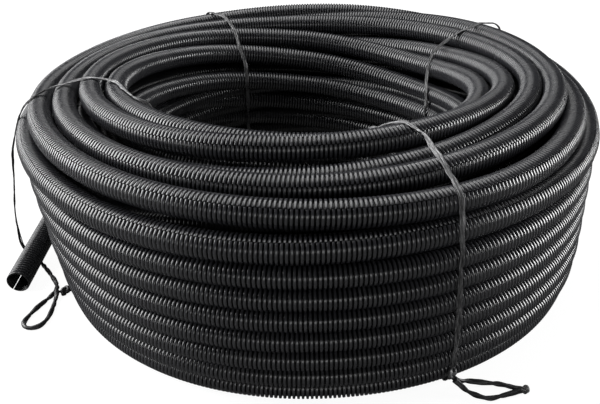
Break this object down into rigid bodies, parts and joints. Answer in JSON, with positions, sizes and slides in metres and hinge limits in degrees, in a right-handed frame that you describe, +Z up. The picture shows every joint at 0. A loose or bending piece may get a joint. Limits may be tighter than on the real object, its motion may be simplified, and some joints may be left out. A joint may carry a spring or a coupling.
{
  "type": "split corrugated conduit coil",
  "caption": "Coil of black split corrugated conduit lying flat, held by knotted twine ties, with one end left free to feed cables into.",
  "frame": {"origin": "on the coil's axis, at the floor that the coil lies on", "axes": "+Z up along the coil's axis; -X is the side where the free end leaves, and -Y is the front, towards which its mouth points"},
  "size_m": [0.5586, 0.538, 0.1804],
  "materials": {
    "conduit": "satin black polypropylene",
    "twine": "flat black fibrous twine"
  },
  "bodies": {
    "root": {"conduit": "conduit", "tie_front": "twine", "tie_left": "twine", "tie_back_left": "twine", "tie_back_right": "twine", "tail_front": "twine", "tail_left": "twine"}
  },
  "joints": []
}
